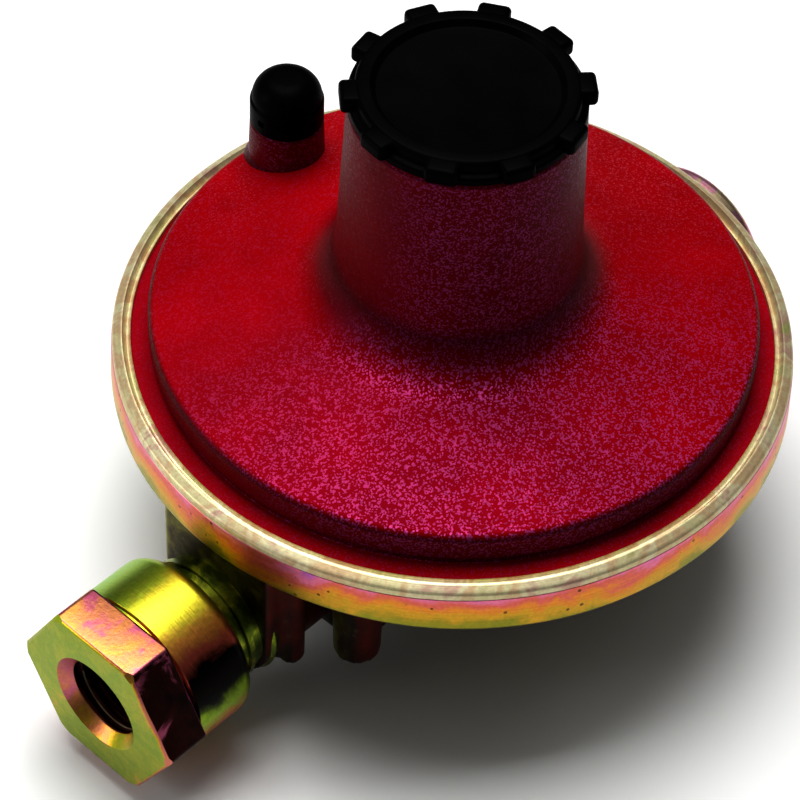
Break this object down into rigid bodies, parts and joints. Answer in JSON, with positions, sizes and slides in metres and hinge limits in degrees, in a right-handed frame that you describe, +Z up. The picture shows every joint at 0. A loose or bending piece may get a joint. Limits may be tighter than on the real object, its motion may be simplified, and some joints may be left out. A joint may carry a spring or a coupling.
{
  "type": "gas pressure regulator",
  "caption": "Low-pressure gas regulator: round body, crimped cover with a spring tower and grip cap, swivelling hexagon inlet, collar outlet, vent, lever valve inside.",
  "frame": {"origin": "centre of the bottom plug's resting face, under the tower's axis", "axes": "+X from the inlet to the outlet, +Z up the spring tower"},
  "size_m": [0.1217, 0.0924, 0.0805],
  "materials": {
    "passivated_casting": "satin yellow passivated, pink and green bloom",
    "passivated_steel": "yellow passivated zinc, turned",
    "red_paint": "metallic red lacquer",
    "black_plastic": "fine grained black moulding",
    "rubber": "matt black",
    "spring_steel": "bright drawn wire",
    "plated_steel": "bright zinc",
    "brass": "turned",
    "fibre": "matt red-brown gasket fibre",
    "steel_mesh": "woven stainless wire"
  },
  "bodies": {
    "housing": {"lower_body": "passivated_casting", "upper_cover": "red_paint", "diaphragm": "rubber", "lever_bracket": "plated_steel", "bracket_screws": "plated_steel", "lever_pin": "plated_steel", "inlet_nozzle": "brass", "nozzle_oring": "rubber", "inlet_filter": "steel_mesh", "swivel_ring": "spring_steel", "inlet_oring": "rubber", "snap_ring": "spring_steel", "outlet_connector": "passivated_steel", "outlet_washer": "fibre", "bottom_plug": "passivated_steel", "plug_washer": "fibre", "vent_screen": "steel_mesh"},
    "seal": {"cap_seal": "rubber"},
    "cap": {"adjusting_cap": "black_plastic"},
    "spring_seat": {"upper_spring_seat": "plated_steel", "main_spring": "spring_steel"},
    "screw": {"adjusting_screw": "brass"},
    "stem": {"relief_stem": "brass", "relief_nut": "brass"},
    "plates": {"diaphragm_plate": "plated_steel", "backing_plate": "plated_steel", "relief_spring": "spring_steel"},
    "rocker": {"lever": "plated_steel"},
    "valve": {"valve_slide": "brass", "seat_disc": "rubber"},
    "vent": {"vent_cap": "black_plastic"},
    "connector": {"inlet_connector": "passivated_steel"}
  },
  "joints": [
    {"name": "cap_turn", "type": "hinge", "parent": "seal", "child": "cap", "pos_m": [0, 0, 0.0775], "axis": [0, 0, 1], "range_deg": [0, 1440]},
    {"name": "cap_lift", "type": "slide", "parent": "housing", "child": "seal", "axis": [0, 0, 1], "range_m": [0, 0.00601]},
    {"name": "screw_turn", "type": "hinge", "parent": "spring_seat", "child": "screw", "pos_m": [0, 0, 0.064], "axis": [0, 0, 1], "range_deg": [-1920, 0]},
    {"name": "seat_slide", "type": "slide", "parent": "housing", "child": "spring_seat", "axis": [0, 0, 1], "range_m": [-0.00801, 0], "deforming": ["main_spring"]},
    {"name": "stem_slide", "type": "slide", "parent": "housing", "child": "stem", "axis": [0, 0, 1], "range_m": [-0.0015, 0.0015], "stiffness_N_per_m": 2000, "deforming": ["diaphragm"]},
    {"name": "relief_lift", "type": "slide", "parent": "stem", "child": "plates", "axis": [0, 0, 1], "range_m": [0, 0.0015], "stiffness_N_per_m": 3000, "springref_m": -0.001, "deforming": ["relief_spring"]},
    {"name": "lever_swing", "type": "hinge", "parent": "housing", "child": "rocker", "pos_m": [-0.018, 0, 0.0099], "axis": [0, -1, 0], "range_deg": [-4.8, 4.8]},
    {"name": "valve_travel", "type": "slide", "parent": "housing", "child": "valve", "axis": [1, 0, 0], "range_m": [-0.00046, 0.00046]},
    {"name": "vent_cap_pull", "type": "slide", "parent": "housing", "child": "vent", "axis": [0, 0, 1], "range_m": [0, 0.01]},
    {"name": "inlet_swivel", "type": "hinge", "parent": "housing", "child": "connector", "pos_m": [-0.058, 0, 0.0153], "axis": [1, 0, 0], "continuous": true}
  ],
  "couplings": [
    {"joint": "cap_lift", "follows": "cap_turn", "m_per_rad": 0.00023873},
    {"joint": "seat_slide", "follows": "screw_turn", "m_per_rad": 0.00023873},
    {"joint": "lever_swing", "follows": "stem_slide", "rad_per_m": 55.556},
    {"joint": "valve_travel", "follows": "stem_slide", "ratio": -0.3}
  ]
}
